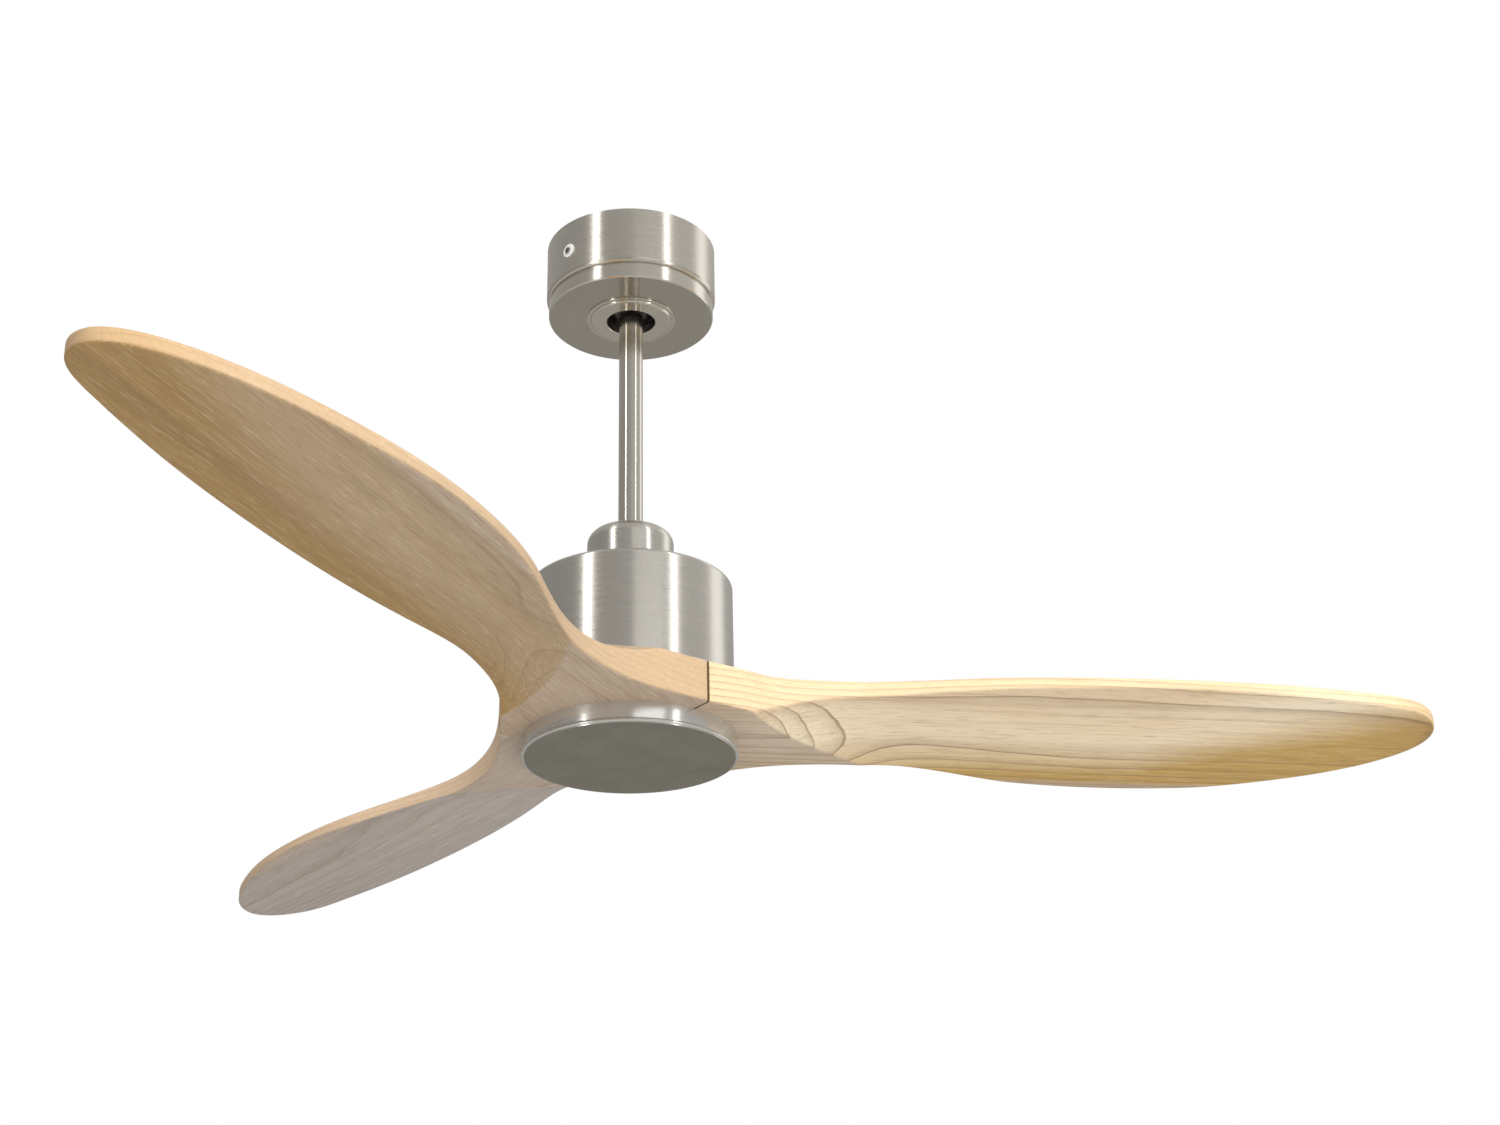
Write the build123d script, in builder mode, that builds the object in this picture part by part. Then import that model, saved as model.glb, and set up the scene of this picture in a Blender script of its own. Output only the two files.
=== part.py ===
from build123d import *
import math
import os

# A three-blade ceiling fan with carved solid-wood blades, hung from a short downrod.
# Millimetres. The origin is the centre of the ceiling face and the fan hangs towards -Z.
# Blade 1 points along +X. A level written as at(h) is h above a datum that lies 12 mm below
# the hub's flat underside, and the cap's face is at the level cap_face.

# ---- driving dimensions ----
ceiling_level = 456.0
cap_face = -4.0
tip_radius = 651.0

canopy_radius = 71.5
canopy_wall = 1.2
canopy_low = 405.5
band_radius = 69.5
band_top = 402.0
band_face = 391.0
trim_radius = 37.5
trim_face = 388.0
rod_hole_radius = 20.5
screw_azimuth = 38.0
screw_level = 428.0

ball_level = 416.0
ball_radius = 24.0
liner_gap = 0.3
liner_wall = 1.5
ball_top = 10.0
ball_bottom = 20.5

plate_radius = 66.0
plate_thick = 2.5
leg_inner = 29.5
leg_thick = 3.0
leg_width = 30.0
seat_radius = 32.0
seat_low = 401.5
seat_top = 413.0
tab_outer = 69.0
tab_width = 18.0
ceiling_pcd = 100.0
ceiling_hole = 2.75
wire_hole = 8.0
wire_hole_offset = 27.0

rod_radius = 10.0
rod_bore = 8.5
rod_low = 152.0
rod_top = 434.0
pin_radius = 3.0
clevis_level = 170.0
cross_level = ball_level + ball_top

cover_radius = 35.0
cover_wall = 1.2
cover_top = 189.5
cover_shoulder = 11.0
housing_radius = 82.0
housing_wall = 1.5
housing_low = 49.0
housing_top = 140.0
housing_edge = 3.0
coupling_flange = 32.0
coupling_neck = 17.0
coupling_top = 184.0
coupling_screw_circle = 27.0

shaft_radius = 8.5
shaft_bore = 5.5
shaft_low = 53.5
shaft_top = 151.0
bearing_radius = 20.0
bearing_width = 12.0
bearing_low = 56.0
bearing_high = 124.0
run_gap = 0.05

rotor_radius = 73.0
rotor_wall = 2.5
rotor_low = 50.5
rotor_top = 126.0
magnet_thick = 7.0
magnet_count = 16
stack_low = 80.0
stack_top = 108.0
stack_radius = 62.0
tooth_count = 12
tooth_width = 9.0
coil_width = 15.0
coil_inner = 32.0
coil_outer = 54.0
coil_over = 5.0

hub_low = 12.0
board_thick = 33.5
blade_thick = 10.6
blade_slope = 0.16
seam_radius = 101.5
seam_gap = 0.7
hub_bore = 14.0
flange_radius = 78.0
flange_thick = 5.0
clamp_radius = 72.0
clamp_thick = 3.0
blade_screw_spots = [(38, 0), (58, -26), (58, 26)]

cap_radius = 84.5
cap_wall = 1.3
cap_floor = 1.5

board_top = hub_low + board_thick
board_mid = hub_low + board_thick / 2
wall_radius = canopy_radius - canopy_wall


def at(height):
    """The z of a level that is given above the datum."""
    return height - ceiling_level


def level(height, turn=0.0):
    """A horizontal sketch plane at a level, turned about the fan's axis."""
    return Plane((0, 0, at(height)), x_dir=Vector(1, 0, 0).rotate(Axis.Z, turn), z_dir=(0, 0, 1))


def across(height, azimuth, distance=0.0):
    """A plane that faces outwards along an azimuth, this far from the fan's axis."""
    out = Vector(1, 0, 0).rotate(Axis.Z, azimuth)
    foot = out * distance + Vector(0, 0, at(height))
    return Plane(foot, x_dir=Vector(0, 1, 0).rotate(Axis.Z, azimuth), z_dir=out)


def keep(part, name):
    """Labels a finished piece and writes it."""
    part.label = name
    export_step(part, f"parts/{name}.step")


os.makedirs("parts", exist_ok=True)

# ---- ceiling bracket: round plate, two legs, an open socket ring and two canopy tabs ----
socket_sphere = ball_radius + liner_wall + 2 * liner_gap
leg_outer = leg_inner + leg_thick
leg_mid = (leg_inner + leg_outer) / 2
tab_mid = (tab_outer + plate_radius - plate_thick) / 2
tab_low = screw_level - 9
with BuildPart() as ceiling_bracket:
    with BuildSketch(level(ceiling_level - plate_thick, screw_azimuth)):
        Circle(plate_radius)
        with Locations((tab_mid, 0), (-tab_mid, 0)):
            Rectangle(tab_outer - plate_radius + plate_thick, tab_width)
        with PolarLocations(ceiling_pcd / 2, 4, start_angle=45):
            Circle(ceiling_hole, mode=Mode.SUBTRACT)
        with Locations((0, wire_hole_offset)):
            Circle(wire_hole, mode=Mode.SUBTRACT)
    extrude(amount=plate_thick)
    with BuildSketch(level(tab_low, screw_azimuth)):
        with Locations((tab_outer - plate_thick / 2, 0), (plate_thick / 2 - tab_outer, 0)):
            Rectangle(plate_thick, tab_width)
    extrude(amount=ceiling_level - tab_low)
    with BuildSketch(level(seat_low, screw_azimuth)):
        with Locations((leg_mid, 0), (-leg_mid, 0)):
            Rectangle(leg_thick, leg_width)
    extrude(amount=ceiling_level - plate_thick - seat_low)
    with BuildSketch(level(seat_low, screw_azimuth)):
        Circle(seat_radius)
    extrude(amount=seat_top - seat_low)
    with Locations((0, 0, at(ball_level))):
        Sphere(socket_sphere, mode=Mode.SUBTRACT)
    with BuildSketch(level(seat_low - 1, screw_azimuth)):
        with Locations((0, seat_radius)):
            Rectangle(2 * rod_radius + 3, 2 * seat_radius)
    extrude(amount=seat_top - seat_low + 2, mode=Mode.SUBTRACT)
    with BuildSketch(level(seat_low - 1)):
        Circle(math.sqrt(socket_sphere**2 - (ball_level - seat_low) ** 2))
    extrude(amount=3, mode=Mode.SUBTRACT)
    with BuildSketch(across(screw_level, screw_azimuth, -tab_outer - 1)):
        Circle(2.0)
    extrude(amount=2 * tab_outer + 2, mode=Mode.SUBTRACT)
keep(ceiling_bracket.part, "ceiling_bracket")

# ---- canopy wall: the tall brushed cylinder that meets the ceiling, turned in at its lower edge ----
canopy_turn = 3.2
turn_radius = canopy_radius - canopy_turn
with BuildPart() as canopy:
    with BuildSketch(Plane.XZ):
        with BuildLine():
            Polyline(
                (canopy_radius, at(canopy_low + canopy_turn)),
                (canopy_radius, at(ceiling_level)),
                (wall_radius, at(ceiling_level)),
                (wall_radius, at(canopy_low + canopy_turn)),
            )
            CenterArc((turn_radius, at(canopy_low + canopy_turn)), canopy_turn - canopy_wall, 0, -90)
            Line((turn_radius, at(canopy_low + canopy_wall)), (turn_radius, at(canopy_low)))
            CenterArc((turn_radius, at(canopy_low + canopy_turn)), canopy_turn, 0, -90)
        make_face()
    revolve(axis=Axis.Z)
    with BuildSketch(across(screw_level, screw_azimuth, -canopy_radius - 1)):
        Circle(2.3)
    extrude(amount=2 * canopy_radius + 2, mode=Mode.SUBTRACT)
keep(canopy.part, "canopy")

# ---- canopy cover: the lower band and flat face, with an upstand inside the wall ----
trim_neck = trim_radius - 4.5
spigot_radius = turn_radius - 0.1
spigot_wall = 1.4
band_edge = 1.0
with BuildPart() as canopy_cover:
    with BuildSketch(Plane.XZ):
        with BuildLine():
            Polyline(
                (trim_neck, at(band_face)),
                (band_radius - band_edge, at(band_face)),
                (band_radius, at(band_face + band_edge)),
                (band_radius, at(band_top)),
                (spigot_radius, at(band_top)),
                (spigot_radius, at(canopy_low + 7)),
                (spigot_radius - spigot_wall, at(canopy_low + 7)),
                (spigot_radius - spigot_wall, at(band_face + canopy_wall + 0.3)),
                (trim_neck, at(band_face + canopy_wall + 0.3)),
                close=True,
            )
        make_face()
    revolve(axis=Axis.Z)
keep(canopy_cover.part, "canopy_cover")

# ---- trim ring: a raised ring on a thin flange round the rod's opening, with a neck through the cover ----
trim_boss = trim_radius - 3.0
trim_flange = 1.2
with BuildPart() as canopy_trim_ring:
    with BuildSketch(level(trim_face)):
        Circle(trim_boss)
    extrude(amount=band_face - trim_face)
    fillet(canopy_trim_ring.edges().group_by(Axis.Z)[0], 2.4)
    with BuildSketch(level(band_face - trim_flange)):
        Circle(trim_radius)
    extrude(amount=trim_flange)
    fillet(canopy_trim_ring.edges().filter_by(GeomType.CIRCLE).group_by(SortBy.RADIUS)[-1][0], 0.5)
    with BuildSketch(level(band_face)):
        Circle(trim_neck - 0.05)
    extrude(amount=4)
    with BuildSketch(level(trim_face)):
        Circle(rod_hole_radius)
    extrude(amount=ceiling_level, mode=Mode.SUBTRACT)
    chamfer(canopy_trim_ring.edges().group_by(Axis.Z)[0].sort_by(SortBy.RADIUS)[0], 0.4)
keep(canopy_trim_ring.part, "canopy_trim_ring")

# ---- canopy side screws with their nylon washers ----
washer_radius = 6.0
washer_thick = 1.0
with BuildPart() as canopy_washers:
    for side in (screw_azimuth, screw_azimuth + 180):
        with BuildSketch(across(screw_level, side, canopy_radius)):
            Circle(washer_radius)
            Circle(2.1, mode=Mode.SUBTRACT)
        extrude(amount=washer_thick)
    fillet(canopy_washers.edges().filter_by(GeomType.CIRCLE).group_by(SortBy.RADIUS)[-1], 0.3)
keep(canopy_washers.part, "canopy_washers")

screw_seat = canopy_radius + washer_thick
with BuildPart() as canopy_screws:
    for side in (screw_azimuth, screw_azimuth + 180):
        with BuildSketch(across(screw_level, side, screw_seat)):
            Circle(2.7)
        extrude(amount=1.0)
        with BuildSketch(across(screw_level, side, tab_outer - 6)):
            Circle(1.95)
        extrude(amount=screw_seat - tab_outer + 6)
        with BuildSketch(across(screw_level, side, screw_seat + 0.4)):
            RegularPolygon(1.5, 6)
        extrude(amount=2, mode=Mode.SUBTRACT)
keep(canopy_screws.part, "canopy_screws")

# ---- remote receiver: open case, lid and circuit board, under the ceiling plate ----
case_length = 52.0
case_depth = 24.0
case_height = 28.0
case_centre = -50.0
case_wall = 1.6
plate_under = ceiling_level - plate_thick
case_low = plate_under - case_height
with BuildPart() as receiver_case:
    with BuildSketch(level(case_low, screw_azimuth)):
        with Locations((0, case_centre)):
            RectangleRounded(case_length, case_depth, 2)
    extrude(amount=case_height)
    with BuildSketch(level(case_low + case_wall, screw_azimuth)):
        with Locations((0, case_centre)):
            Rectangle(case_length - 2 * case_wall, case_depth - 2 * case_wall)
    extrude(amount=case_height, mode=Mode.SUBTRACT)
keep(receiver_case.part, "receiver_case")

lid_thick = 1.5
with BuildPart() as receiver_lid:
    with BuildSketch(level(plate_under - lid_thick, screw_azimuth)):
        with Locations((0, case_centre)):
            Rectangle(case_length - 2 * case_wall - 0.2, case_depth - 2 * case_wall - 0.2)
    extrude(amount=lid_thick)
keep(receiver_lid.part, "receiver_lid")

board_level = case_low + case_wall + 3
with BuildPart() as receiver_board:
    with BuildSketch(level(board_level, screw_azimuth)):
        with Locations((0, case_centre)):
            Rectangle(case_length - 2 * case_wall - 1, case_depth - 2 * case_wall - 1)
    extrude(amount=1.6)
    with BuildSketch(level(board_level + 1.6, screw_azimuth)):
        with Locations((-16, case_centre), (0, case_centre + 3)):
            Rectangle(10, 8)
    extrude(amount=9)
    with BuildSketch(level(board_level + 1.6, screw_azimuth)):
        with Locations((15, case_centre - 3), (15, case_centre + 5)):
            Circle(3.2)
    extrude(amount=12)
keep(receiver_board.part, "receiver_board")

with BuildPart() as terminal_block:
    with BuildSketch(level(plate_under - 12, screw_azimuth)):
        with Locations((0, 47)):
            RectangleRounded(30, 14, 1.5)
    extrude(amount=12)
    with BuildSketch(level(plate_under - 12, screw_azimuth)):
        with Locations((-10, 47), (0, 47), (10, 47)):
            Circle(2.2)
    extrude(amount=7, mode=Mode.SUBTRACT)
keep(terminal_block.part, "terminal_block")

# ---- socket liner: a thin spherical ring between the ball and the bracket's socket ----
with BuildPart() as socket_liner:
    with BuildSketch(level(seat_low)):
        Circle(seat_radius)
    extrude(amount=seat_top - seat_low)
    with Locations((0, 0, at(ball_level))):
        Sphere(socket_sphere - liner_gap, mode=Mode.INTERSECT)
        Sphere(ball_radius + liner_gap, mode=Mode.SUBTRACT)
keep(socket_liner.part, "socket_liner")

# ---- hanger ball, its cross pin and set screw ----
with BuildPart() as hanger_ball:
    with Locations((0, 0, at(ball_level))):
        Sphere(ball_radius)
    split(bisect_by=Plane.XY.offset(at(ball_level + ball_top)), keep=Keep.BOTTOM)
    split(bisect_by=Plane.XY.offset(at(ball_level - ball_bottom)), keep=Keep.TOP)
    with BuildSketch(level(ball_level - ball_bottom)):
        Circle(rod_radius + run_gap)
    extrude(amount=2 * ball_radius, mode=Mode.SUBTRACT)
    with BuildSketch(across(cross_level, 0, -ball_radius)):
        Circle(pin_radius + run_gap)
    extrude(amount=2 * ball_radius, mode=Mode.SUBTRACT)
    with BuildSketch(across(ball_level + 5, 90, rod_radius)):
        Circle(2.5)
    extrude(amount=ball_radius, mode=Mode.SUBTRACT)
keep(hanger_ball.part, "hanger_ball")

with BuildPart() as ball_cross_pin:
    with BuildSketch(across(cross_level, 0, -20)):
        Circle(pin_radius)
    extrude(amount=40)
    chamfer(ball_cross_pin.edges(), 0.6)
keep(ball_cross_pin.part, "ball_cross_pin")

with BuildPart() as ball_set_screw:
    with BuildSketch(across(ball_level + 5, 90, rod_radius)):
        Circle(2.45)
    extrude(amount=8)
    with BuildSketch(across(ball_level + 5, 90, rod_radius + 5)):
        RegularPolygon(1.3, 6)
    extrude(amount=4, mode=Mode.SUBTRACT)
keep(ball_set_screw.part, "ball_set_screw")

# ---- downrod: a tube, drilled for the cross pin above and the clevis pin below ----
with BuildPart() as downrod:
    with BuildSketch(level(rod_low)):
        Circle(rod_radius)
        Circle(rod_bore, mode=Mode.SUBTRACT)
    extrude(amount=rod_top - rod_low)
    with BuildSketch(across(cross_level, 0, -20)):
        Circle(pin_radius + run_gap)
    extrude(amount=40, mode=Mode.SUBTRACT)
    with BuildSketch(across(clevis_level, 0, -20)):
        Circle(pin_radius + run_gap)
    extrude(amount=40, mode=Mode.SUBTRACT)
keep(downrod.part, "downrod")

# ---- lead wires: down the rod beside the pins, into the shaft and out over the stator ----
wire_radius = 1.0
wire_high = rod_top + 3
wire_out = 120.0
wire_places = [(0, 4.4), (0, -4.4), (3.5, 4.4)]
wire_turns = [90, 270, 30]
with BuildPart() as lead_wires:
    for (x, y), turn in zip(wire_places, wire_turns):
        away = Vector(1, 0, 0).rotate(Axis.Z, turn)
        gather = away * 3.6
        with BuildLine():
            FilletPolyline(
                (x, y, at(wire_high)),
                (x, y, at(rod_low + 8)),
                (gather.X, gather.Y, at(rod_low - 4)),
                (gather.X, gather.Y, at(wire_out)),
                (away.X * 27, away.Y * 27, at(wire_out)),
                radius=3,
            )
        with BuildSketch(Plane((x, y, at(wire_high)), z_dir=(0, 0, -1))):
            Circle(wire_radius)
        sweep()
keep(lead_wires.part, "lead_wires")

with BuildPart() as lead_plug:
    with BuildSketch(level(wire_high)):
        RectangleRounded(15, 15, 2)
    extrude(amount=11)
keep(lead_plug.part, "lead_plug")

# ---- coupling between rod and motor, with its pin, clip and screws ----
set_screw_sides = (90, 270)
set_screw_level = clevis_level - 9
with BuildPart() as motor_coupling:
    with BuildSketch(level(housing_top)):
        Circle(coupling_flange)
        with PolarLocations(coupling_screw_circle, 4, start_angle=45):
            Circle(2.1, mode=Mode.SUBTRACT)
    extrude(amount=6)
    with BuildSketch(level(housing_top + 6)):
        Circle(coupling_neck)
    extrude(amount=coupling_top - housing_top - 6)
    with BuildSketch(level(housing_top)):
        Circle(shaft_radius)
    extrude(amount=rod_low - housing_top, mode=Mode.SUBTRACT)
    with BuildSketch(level(rod_low)):
        Circle(rod_radius + run_gap)
    extrude(amount=coupling_top - rod_low, mode=Mode.SUBTRACT)
    with BuildSketch(across(clevis_level, 0, -coupling_neck - 1)):
        Circle(pin_radius + run_gap)
    extrude(amount=2 * coupling_neck + 2, mode=Mode.SUBTRACT)
    for side in set_screw_sides:
        with BuildSketch(across(set_screw_level, side, rod_radius)):
            Circle(2.5)
        extrude(amount=coupling_neck, mode=Mode.SUBTRACT)
keep(motor_coupling.part, "motor_coupling")

clip_x = coupling_neck + 3.5
clip_wire = 0.9
with BuildPart() as clevis_pin:
    with BuildSketch(across(clevis_level, 0, -coupling_neck)):
        Circle(pin_radius)
    extrude(amount=2 * coupling_neck + 7)
    with BuildSketch(across(clevis_level, 180, coupling_neck)):
        Circle(5)
    extrude(amount=2.5)
    with BuildSketch(level(clevis_level - 5)):
        with Locations((clip_x, 0)):
            Circle(clip_wire + 0.2)
    extrude(amount=10, mode=Mode.SUBTRACT)
keep(clevis_pin.part, "clevis_pin")

clip_low = at(clevis_level - 8)
clip_high = at(clevis_level + 9)
clip_loop = 2.6
with BuildPart() as r_clip:
    with BuildLine():
        Line((clip_x, 0, clip_low), (clip_x, 0, clip_high))
        ThreePointArc(
            (clip_x, 0, clip_high),
            (clip_x, clip_loop, clip_high + clip_loop),
            (clip_x, 2 * clip_loop, clip_high),
        )
        Line((clip_x, 2 * clip_loop, clip_high), (clip_x, 2 * clip_loop, clip_low + 2))
    with BuildSketch(Plane((clip_x, 0, clip_low), z_dir=(0, 0, 1))):
        Circle(clip_wire)
    sweep()
keep(r_clip.part, "r_clip")

with BuildPart() as coupling_set_screws:
    for side in set_screw_sides:
        with BuildSketch(across(set_screw_level, side, rod_radius)):
            Circle(2.45)
        extrude(amount=9)
        with BuildSketch(across(set_screw_level, side, rod_radius + 6)):
            RegularPolygon(1.3, 6)
        extrude(amount=4, mode=Mode.SUBTRACT)
keep(coupling_set_screws.part, "coupling_set_screws")

# ---- coupling cover: the small brushed cup with a rounded shoulder ----
cover_hole = rod_radius + 0.5
with BuildPart() as coupling_cover:
    with BuildSketch(level(housing_top)):
        Circle(cover_radius)
    extrude(amount=cover_top - housing_top)
    fillet(coupling_cover.edges().group_by(Axis.Z)[-1], cover_shoulder)
    offset(amount=-cover_wall, openings=coupling_cover.faces().sort_by(Axis.Z)[0])
    with BuildSketch(level(housing_top)):
        Circle(cover_hole)
    extrude(amount=cover_top - housing_top + 1, mode=Mode.SUBTRACT)
keep(coupling_cover.part, "coupling_cover")

# ---- motor housing: a deep brushed cup, open below, with its four screws and nuts ----
with BuildPart() as motor_housing:
    with BuildSketch(level(housing_low)):
        Circle(housing_radius)
    extrude(amount=housing_top - housing_low)
    fillet(motor_housing.edges().group_by(Axis.Z)[-1], housing_edge)
    offset(amount=-housing_wall, openings=motor_housing.faces().sort_by(Axis.Z)[0])
    with BuildSketch(level(housing_top - 5)):
        Circle(shaft_radius + 4)
        with PolarLocations(coupling_screw_circle, 4, start_angle=45):
            Circle(2.1)
    extrude(amount=10, mode=Mode.SUBTRACT)
keep(motor_housing.part, "motor_housing")

with BuildPart() as housing_screws:
    with BuildSketch(level(housing_top - 7)):
        with PolarLocations(coupling_screw_circle, 4, start_angle=45):
            Circle(2.0)
    extrude(amount=13)
    with BuildSketch(level(housing_top + 6)):
        with PolarLocations(coupling_screw_circle, 4, start_angle=45):
            Circle(3.5)
    extrude(amount=2.4)
keep(housing_screws.part, "housing_screws")

with BuildPart() as housing_nuts:
    with BuildSketch(level(housing_top - housing_wall - 3.2)):
        with PolarLocations(coupling_screw_circle, 4, start_angle=45):
            RegularPolygon(3.5, 6, major_radius=False)
            Circle(2.0, mode=Mode.SUBTRACT)
    extrude(amount=3.2)
keep(housing_nuts.part, "housing_nuts")

# ---- stator: hollow fixed shaft, retaining clip, laminated core and coils ----
groove_radius = shaft_radius - 0.6
clip_thick = 1.2
with BuildPart() as stator_shaft:
    with BuildSketch(level(shaft_low)):
        Circle(shaft_radius)
        Circle(shaft_bore, mode=Mode.SUBTRACT)
    extrude(amount=shaft_top - shaft_low)
    with BuildSketch(level(bearing_low - clip_thick)):
        Circle(shaft_radius + 1)
        Circle(groove_radius, mode=Mode.SUBTRACT)
    extrude(amount=clip_thick, mode=Mode.SUBTRACT)
    for turn in wire_turns:
        with BuildSketch(across(wire_out - 0.6, turn, 0)):
            SlotOverall(5.6, 3, rotation=90)
        extrude(amount=shaft_radius + 1, mode=Mode.SUBTRACT)
keep(stator_shaft.part, "stator_shaft")

with BuildPart() as shaft_clip:
    with BuildSketch(level(bearing_low - clip_thick)):
        Circle(shaft_radius + 2.6)
        Circle(groove_radius, mode=Mode.SUBTRACT)
        with Locations((shaft_radius, 0)):
            Rectangle(8, 4, mode=Mode.SUBTRACT)
    extrude(amount=clip_thick)
keep(shaft_clip.part, "shaft_clip")

tooth_length = stack_radius - 15
with BuildPart() as stator_core:
    with BuildSketch(level(stack_low)):
        Circle(20)
        with PolarLocations(15 + tooth_length / 2 - 2, tooth_count):
            Rectangle(tooth_length, tooth_width)
    extrude(amount=stack_top - stack_low)
    with BuildSketch(level(stack_low)):
        Circle(stack_radius)
        Circle(stack_radius - 5, mode=Mode.SUBTRACT)
        with PolarLocations(stack_radius - 2, tooth_count, start_angle=180 / tooth_count):
            Rectangle(16, 6, mode=Mode.SUBTRACT)
    extrude(amount=stack_top - stack_low)
    with BuildSketch(level(stack_low)):
        Circle(shaft_radius)
    extrude(amount=stack_top - stack_low, mode=Mode.SUBTRACT)
keep(stator_core.part, "stator_core")

coil_mid = (coil_inner + coil_outer) / 2
with BuildPart() as stator_coils:
    with BuildSketch(level(stack_low - coil_over)):
        with PolarLocations(coil_mid, tooth_count):
            RectangleRounded(coil_outer - coil_inner, coil_width, 2)
    extrude(amount=stack_top - stack_low + 2 * coil_over)
    with BuildSketch(level(stack_low)):
        with PolarLocations(coil_mid, tooth_count):
            Rectangle(coil_outer - coil_inner + 2, tooth_width)
    extrude(amount=stack_top - stack_low, mode=Mode.SUBTRACT)
keep(stator_coils.part, "stator_coils")

# ---- bearings: sealed rings that turn with the rotor on the fixed shaft ----
seal_depth = 0.6
for bearing_name, bearing_level in (("lower_bearing", bearing_low), ("upper_bearing", bearing_high)):
    with BuildPart() as bearing:
        with BuildSketch(level(bearing_level)):
            Circle(bearing_radius)
            Circle(shaft_radius + run_gap, mode=Mode.SUBTRACT)
        extrude(amount=bearing_width)
        for face_level in (bearing_level, bearing_level + bearing_width - seal_depth):
            with BuildSketch(level(face_level)):
                Circle(bearing_radius - 3)
                Circle(shaft_radius + 3, mode=Mode.SUBTRACT)
            extrude(amount=seal_depth, mode=Mode.SUBTRACT)
    keep(bearing.part, bearing_name)

# ---- rotor: lower shell with bearing seat, magnets and upper lid ----
seat_wall = 2.0
shell_floor = 2.5
rotor_inner = rotor_radius - rotor_wall
with BuildPart() as rotor_shell:
    with BuildSketch(level(rotor_low)):
        Circle(rotor_radius)
        with PolarLocations(30, 6):
            Circle(2.0, mode=Mode.SUBTRACT)
    extrude(amount=shell_floor)
    with BuildSketch(level(rotor_low + shell_floor)):
        Circle(rotor_radius)
        Circle(rotor_inner, mode=Mode.SUBTRACT)
    extrude(amount=rotor_top - rotor_low - shell_floor)
    with BuildSketch(level(rotor_low + shell_floor)):
        Circle(bearing_radius + seat_wall)
        Circle(bearing_radius, mode=Mode.SUBTRACT)
    extrude(amount=bearing_low + bearing_width - rotor_low - shell_floor)
    with BuildSketch(level(rotor_low + shell_floor)):
        Circle(bearing_radius + 1)
        Circle(bearing_radius - 2.5, mode=Mode.SUBTRACT)
    extrude(amount=bearing_low - rotor_low - shell_floor)
keep(rotor_shell.part, "rotor_shell")

with BuildPart() as rotor_magnets:
    with BuildSketch(level(stack_low - 4)):
        Circle(rotor_inner)
        Circle(rotor_inner - magnet_thick, mode=Mode.SUBTRACT)
        with PolarLocations(rotor_inner - magnet_thick / 2, magnet_count):
            Rectangle(magnet_thick + 4, 1.5, mode=Mode.SUBTRACT)
    extrude(amount=stack_top - stack_low + 8)
keep(rotor_magnets.part, "rotor_magnets")

lid_high = bearing_high + bearing_width + 1
with BuildPart() as rotor_lid:
    with BuildSketch(level(rotor_top)):
        Circle(rotor_radius)
        with PolarLocations(47, 8):
            SlotOverall(24, 8, mode=Mode.SUBTRACT)
    extrude(amount=3)
    with BuildSketch(level(bearing_high)):
        Circle(bearing_radius + seat_wall)
    extrude(amount=lid_high - bearing_high)
    with BuildSketch(level(bearing_high)):
        Circle(bearing_radius)
    extrude(amount=bearing_width, mode=Mode.SUBTRACT)
    with BuildSketch(level(bearing_high)):
        Circle(bearing_radius - 5)
    extrude(amount=lid_high - bearing_high, mode=Mode.SUBTRACT)
keep(rotor_lid.part, "rotor_lid")

# ---- blade flange on top of the hub, and the screws that hold it to the rotor ----
blade_turns = [0, 120, 240]
with BuildPart() as blade_flange:
    with BuildSketch(level(board_top)):
        Circle(flange_radius)
        with PolarLocations(30, 6):
            Circle(2.05, mode=Mode.SUBTRACT)
        for turn in blade_turns:
            with Locations(Location((0, 0, 0), (0, 0, turn))):
                with Locations(*blade_screw_spots):
                    Circle(3.0, mode=Mode.SUBTRACT)
    extrude(amount=flange_thick)
    with BuildSketch(level(board_top)):
        with PolarLocations(30, 6):
            Circle(4.0)
    extrude(amount=2.4, mode=Mode.SUBTRACT)
keep(blade_flange.part, "blade_flange")

with BuildPart() as flange_screws:
    with BuildSketch(level(board_top + 0.2)):
        with PolarLocations(30, 6):
            Circle(3.6)
    extrude(amount=2.2)
    with BuildSketch(level(board_top + 2.4)):
        with PolarLocations(30, 6):
            Circle(1.95)
    extrude(amount=rotor_low + shell_floor - board_top - 2.4)
keep(flange_screws.part, "flange_screws")

# ---- blades: carved from a thick board, flat at the hub, thin and pitched further out ----
# The board is a 120-degree hub sector with the blade's planform. Its lower face is carved
# away beyond a curved crease, from the hub's flat face up to the blade's pitched lower
# plane, and its upper face is the same cut turned half a turn about the blade's axis.
crease_start = 84.0
crease_offset = 73.0
crease_slope = 0.4645
crease_curve = 0.00393
carve_length = 110.0
rise_mid = board_thick / 2 - blade_thick / 2


def crease_x(y):
    """Where the hub's flat face ends, for a point this far across the blade."""
    across_blade = y + crease_offset
    return crease_start + crease_slope * across_blade + crease_curve * across_blade**2


def carve_height(y, beyond):
    """Height of the carved lower face above the hub's flat face, this far past the crease."""
    left = max(0.0, 1 - beyond / carve_length)
    return (rise_mid - blade_slope * y) * (1 - left**3)


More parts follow.
